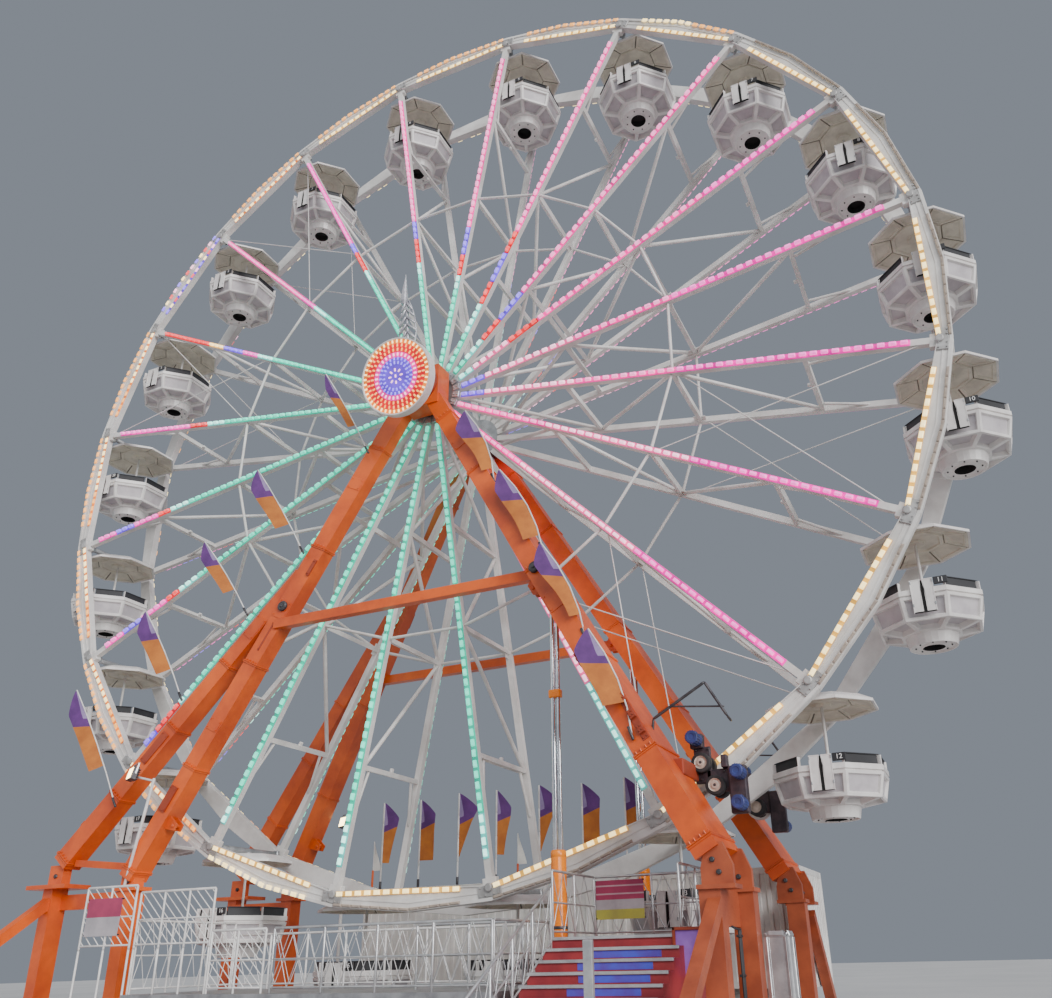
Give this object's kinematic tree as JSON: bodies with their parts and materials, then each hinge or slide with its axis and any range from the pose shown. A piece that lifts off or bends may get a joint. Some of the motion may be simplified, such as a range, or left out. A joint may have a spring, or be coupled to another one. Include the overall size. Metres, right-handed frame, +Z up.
{
  "type": "ferris wheel",
  "caption": "Trailer-mounted fairground ferris wheel: twin rims on spoke frames between two A-frames, with canopied tub cabins that stay level.",
  "frame": {"origin": "on the ground straight under the wheel centre, on the underside of the chassis", "axes": "+X to the right seen from the front, +Y to the rear along the wheel's axle, +Z up"},
  "size_m": [26.8486, 13.73, 28.1194],
  "materials": {
    "orange_paint": "satin",
    "white_paint": "satin",
    "galvanised": "dull",
    "fibreglass": "gloss",
    "tread_red": "matt",
    "drive_blue": "satin",
    "sign_face": "gloss",
    "ram_orange": "gloss"
  },
  "bodies": {
    "structure": {"front_right_leg": "orange_paint", "front_left_leg": "orange_paint", "front_crossbar": "orange_paint", "front_ram": "ram_orange", "front_drive": "drive_blue", "rear_right_leg": "orange_paint", "rear_left_leg": "orange_paint", "rear_crossbar": "orange_paint", "rear_ram": "ram_orange", "rear_drive": "drive_blue", "right_base": "orange_paint", "left_base": "orange_paint", "chassis": "galvanised", "trailer": "white_paint", "steps": "tread_red", "loading_deck": "galvanised", "hub_sign": "sign_face"},
    "wheel": {"front_rim": "white_paint", "rear_rim": "white_paint", "hub": "galvanised", "spoke_frame_01": "white_paint", "spoke_frame_02": "white_paint", "spoke_frame_03": "white_paint", "spoke_frame_04": "white_paint", "spoke_frame_05": "white_paint", "spoke_frame_06": "white_paint", "spoke_frame_07": "white_paint", "spoke_frame_08": "white_paint", "spoke_frame_09": "white_paint", "spoke_frame_10": "white_paint", "spoke_frame_11": "white_paint", "spoke_frame_12": "white_paint", "spoke_frame_13": "white_paint", "spoke_frame_14": "white_paint", "spoke_frame_15": "white_paint", "spoke_frame_16": "white_paint", "spoke_frame_17": "white_paint", "spoke_frame_18": "white_paint", "spoke_frame_19": "white_paint", "spoke_frame_20": "white_paint"},
    "cabin_01": {"cabin_01": "fibreglass"},
    "cabin_02": {"cabin_02": "fibreglass"},
    "cabin_03": {"cabin_03": "fibreglass"},
    "cabin_04": {"cabin_04": "fibreglass"},
    "cabin_05": {"cabin_05": "fibreglass"},
    "cabin_06": {"cabin_06": "fibreglass"},
    "cabin_07": {"cabin_07": "fibreglass"},
    "cabin_08": {"cabin_08": "fibreglass"},
    "cabin_09": {"cabin_09": "fibreglass"},
    "cabin_10": {"cabin_10": "fibreglass"},
    "cabin_11": {"cabin_11": "fibreglass"},
    "cabin_12": {"cabin_12": "fibreglass"},
    "cabin_13": {"cabin_13": "fibreglass"},
    "cabin_14": {"cabin_14": "fibreglass"},
    "cabin_15": {"cabin_15": "fibreglass"},
    "cabin_16": {"cabin_16": "fibreglass"},
    "cabin_17": {"cabin_17": "fibreglass"},
    "cabin_18": {"cabin_18": "fibreglass"},
    "cabin_19": {"cabin_19": "fibreglass"},
    "cabin_20": {"cabin_20": "fibreglass"}
  },
  "joints": [
    {"name": "wheel_turn", "type": "hinge", "parent": "structure", "child": "wheel", "pos_m": [0, 0, 15.35], "axis": [0, 1, 0], "continuous": true},
    {"name": "cabin_01_level", "type": "hinge", "parent": "wheel", "child": "cabin_01", "pos_m": [5.78153, 0, 26.43259], "axis": [0, 1, 0], "continuous": true},
    {"name": "cabin_02_level", "type": "hinge", "parent": "wheel", "child": "cabin_02", "pos_m": [2.07385, 0, 27.67676], "axis": [0, 1, 0], "continuous": true},
    {"name": "cabin_03_level", "type": "hinge", "parent": "wheel", "child": "cabin_03", "pos_m": [-1.83683, 0, 27.71431], "axis": [0, 1, 0], "continuous": true},
    {"name": "cabin_04_level", "type": "hinge", "parent": "wheel", "child": "cabin_04", "pos_m": [-5.56771, 0, 26.54154], "axis": [0, 1, 0], "continuous": true},
    {"name": "cabin_05_level", "type": "hinge", "parent": "wheel", "child": "cabin_05", "pos_m": [-8.75358, 0, 24.27327], "axis": [0, 1, 0], "continuous": true},
    {"name": "cabin_06_level", "type": "hinge", "parent": "wheel", "child": "cabin_06", "pos_m": [-11.08259, 0, 21.13153], "axis": [0, 1, 0], "continuous": true},
    {"name": "cabin_07_level", "type": "hinge", "parent": "wheel", "child": "cabin_07", "pos_m": [-12.32676, 0, 17.42385], "axis": [0, 1, 0], "continuous": true},
    {"name": "cabin_08_level", "type": "hinge", "parent": "wheel", "child": "cabin_08", "pos_m": [-12.36431, 0, 13.51317], "axis": [0, 1, 0], "continuous": true},
    {"name": "cabin_09_level", "type": "hinge", "parent": "wheel", "child": "cabin_09", "pos_m": [-11.19154, 0, 9.78229], "axis": [0, 1, 0], "continuous": true},
    {"name": "cabin_10_level", "type": "hinge", "parent": "wheel", "child": "cabin_10", "pos_m": [-8.92327, 0, 6.59642], "axis": [0, 1, 0], "continuous": true},
    {"name": "cabin_11_level", "type": "hinge", "parent": "wheel", "child": "cabin_11", "pos_m": [-5.78153, 0, 4.26741], "axis": [0, 1, 0], "continuous": true},
    {"name": "cabin_12_level", "type": "hinge", "parent": "wheel", "child": "cabin_12", "pos_m": [-2.07385, 0, 3.02324], "axis": [0, 1, 0], "continuous": true},
    {"name": "cabin_13_level", "type": "hinge", "parent": "wheel", "child": "cabin_13", "pos_m": [1.83683, 0, 2.98569], "axis": [0, 1, 0], "continuous": true},
    {"name": "cabin_14_level", "type": "hinge", "parent": "wheel", "child": "cabin_14", "pos_m": [5.56771, 0, 4.15846], "axis": [0, 1, 0], "continuous": true},
    {"name": "cabin_15_level", "type": "hinge", "parent": "wheel", "child": "cabin_15", "pos_m": [8.75358, 0, 6.42673], "axis": [0, 1, 0], "continuous": true},
    {"name": "cabin_16_level", "type": "hinge", "parent": "wheel", "child": "cabin_16", "pos_m": [11.08259, 0, 9.56847], "axis": [0, 1, 0], "continuous": true},
    {"name": "cabin_17_level", "type": "hinge", "parent": "wheel", "child": "cabin_17", "pos_m": [12.32676, 0, 13.27615], "axis": [0, 1, 0], "continuous": true},
    {"name": "cabin_18_level", "type": "hinge", "parent": "wheel", "child": "cabin_18", "pos_m": [12.36431, 0, 17.18683], "axis": [0, 1, 0], "continuous": true},
    {"name": "cabin_19_level", "type": "hinge", "parent": "wheel", "child": "cabin_19", "pos_m": [11.19154, 0, 20.91771], "axis": [0, 1, 0], "continuous": true},
    {"name": "cabin_20_level", "type": "hinge", "parent": "wheel", "child": "cabin_20", "pos_m": [8.92327, 0, 24.10358], "axis": [0, 1, 0], "continuous": true}
  ],
  "couplings": [
    {"joint": "cabin_01_level", "follows": "wheel_turn", "ratio": -1},
    {"joint": "cabin_02_level", "follows": "wheel_turn", "ratio": -1},
    {"joint": "cabin_03_level", "follows": "wheel_turn", "ratio": -1},
    {"joint": "cabin_04_level", "follows": "wheel_turn", "ratio": -1},
    {"joint": "cabin_05_level", "follows": "wheel_turn", "ratio": -1},
    {"joint": "cabin_06_level", "follows": "wheel_turn", "ratio": -1},
    {"joint": "cabin_07_level", "follows": "wheel_turn", "ratio": -1},
    {"joint": "cabin_08_level", "follows": "wheel_turn", "ratio": -1},
    {"joint": "cabin_09_level", "follows": "wheel_turn", "ratio": -1},
    {"joint": "cabin_10_level", "follows": "wheel_turn", "ratio": -1},
    {"joint": "cabin_11_level", "follows": "wheel_turn", "ratio": -1},
    {"joint": "cabin_12_level", "follows": "wheel_turn", "ratio": -1},
    {"joint": "cabin_13_level", "follows": "wheel_turn", "ratio": -1},
    {"joint": "cabin_14_level", "follows": "wheel_turn", "ratio": -1},
    {"joint": "cabin_15_level", "follows": "wheel_turn", "ratio": -1},
    {"joint": "cabin_16_level", "follows": "wheel_turn", "ratio": -1},
    {"joint": "cabin_17_level", "follows": "wheel_turn", "ratio": -1},
    {"joint": "cabin_18_level", "follows": "wheel_turn", "ratio": -1},
    {"joint": "cabin_19_level", "follows": "wheel_turn", "ratio": -1},
    {"joint": "cabin_20_level", "follows": "wheel_turn", "ratio": -1}
  ]
}
